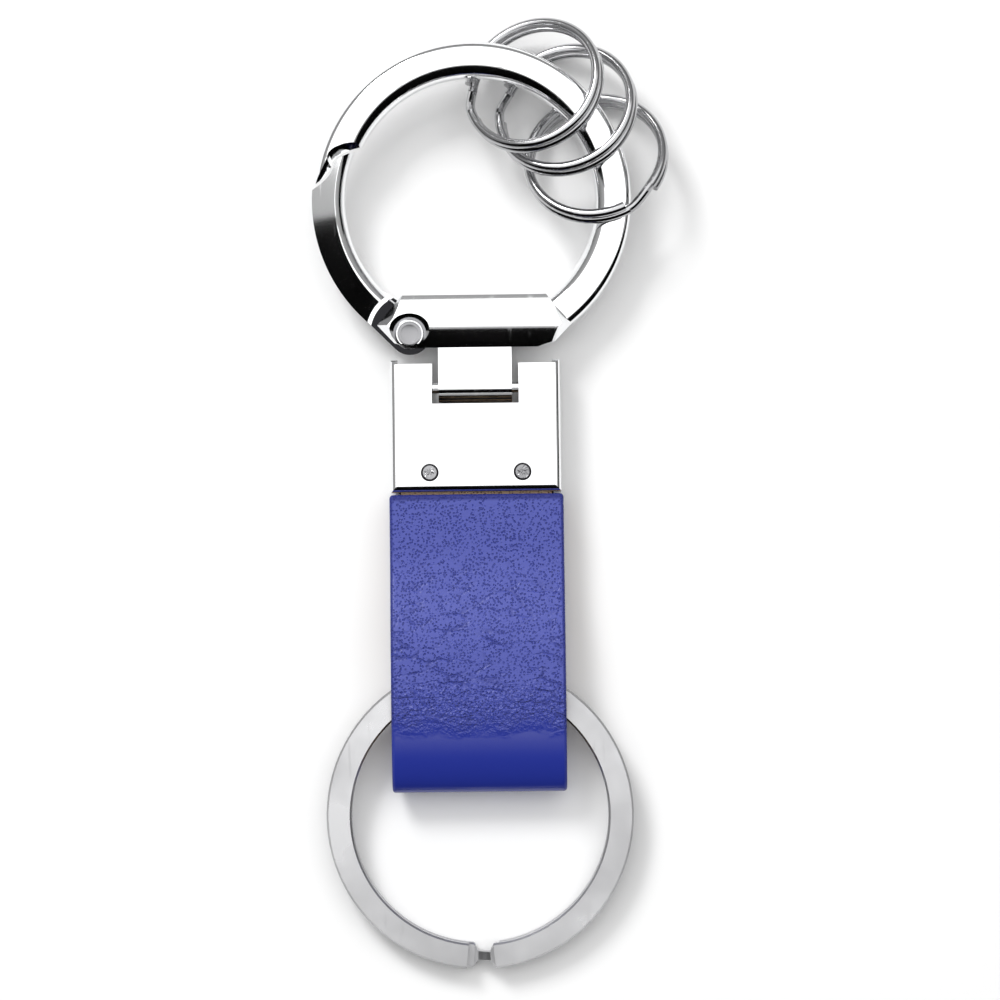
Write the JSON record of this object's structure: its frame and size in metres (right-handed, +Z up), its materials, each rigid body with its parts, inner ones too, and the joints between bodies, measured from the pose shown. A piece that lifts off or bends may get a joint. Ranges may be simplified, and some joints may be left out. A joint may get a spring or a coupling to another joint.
{
  "type": "leather strap key fob",
  "caption": "Leather strap key fob with a chrome clasp, a hinged gated ring carabiner, small split rings and a large split ring.",
  "frame": {"origin": "centre of the clasp's flat back face, which lies on the table", "axes": "+Y from the strap to the carabiner, +X to the right, +Z up from the table"},
  "size_m": [0.0375, 0.0997, 0.0099],
  "materials": {
    "chrome": "polished",
    "nickel_steel": "bright nickel",
    "spring_steel": "drawn wire",
    "blue_leather": "fine grain, waxed",
    "tan_leather": "bare flesh side"
  },
  "bodies": {
    "clasp": {"clasp_shell": "chrome", "strap_rivets": "chrome", "hinge_pin": "chrome", "strap_core": "tan_leather"},
    "carabiner": {"carabiner_frame": "chrome", "gate_pivot_rivet": "chrome", "gate_spring": "spring_steel"},
    "gate": {"carabiner_gate": "chrome"},
    "strap": {"strap_cover": "blue_leather", "strap_lining": "tan_leather"},
    "large_ring": {"large_split_ring": "nickel_steel"},
    "small_ring_1": {"small_split_ring_1": "nickel_steel"},
    "small_ring_2": {"small_split_ring_2": "nickel_steel"},
    "small_ring_3": {"small_split_ring_3": "nickel_steel"}
  },
  "joints": [
    {"name": "carabiner_fold", "type": "hinge", "parent": "clasp", "child": "carabiner", "pos_m": [0, 0.0042, 0.0025], "axis": [1, 0, 0], "range_deg": [-95.19, 84.81]},
    {"name": "gate_open", "type": "hinge", "parent": "carabiner", "child": "gate", "pos_m": [-0.0068, 0.00988, 0.00302], "axis": [0, -0.0905, 0.9959], "range_deg": [-28, 0], "stiffness_Nm_per_rad": 0.004, "springref_deg": 8.59, "deforming": ["gate_spring"]},
    {"name": "strap_flex", "type": "hinge", "parent": "clasp", "child": "strap", "pos_m": [0, -0.0176, 0.0025], "axis": [1, 0, 0], "range_deg": [-45, 45], "deforming": ["strap_cover", "strap_lining"]},
    {"name": "large_ring_turn", "type": "hinge", "parent": "strap", "child": "large_ring", "pos_m": [0, -0.0406, 0.00244], "axis": [0, -0.0706, 0.9975], "continuous": true},
    {"name": "small_ring_1_slide", "type": "hinge", "parent": "carabiner", "child": "small_ring_1", "pos_m": [0, 0.02372, 0.00427], "axis": [0, -0.0905, 0.9959], "range_deg": [0, 60]},
    {"name": "small_ring_2_slide", "type": "hinge", "parent": "carabiner", "child": "small_ring_2", "pos_m": [0, 0.02372, 0.00427], "axis": [0, -0.0905, 0.9959], "range_deg": [0, 30]},
    {"name": "small_ring_3_slide", "type": "hinge", "parent": "carabiner", "child": "small_ring_3", "pos_m": [0, 0.02372, 0.00427], "axis": [0, -0.0905, 0.9959], "range_deg": [-32, 0]}
  ],
  "couplings": [
    {"joint": "small_ring_2_slide", "follows": "small_ring_1_slide", "ratio": 0.5}
  ]
}
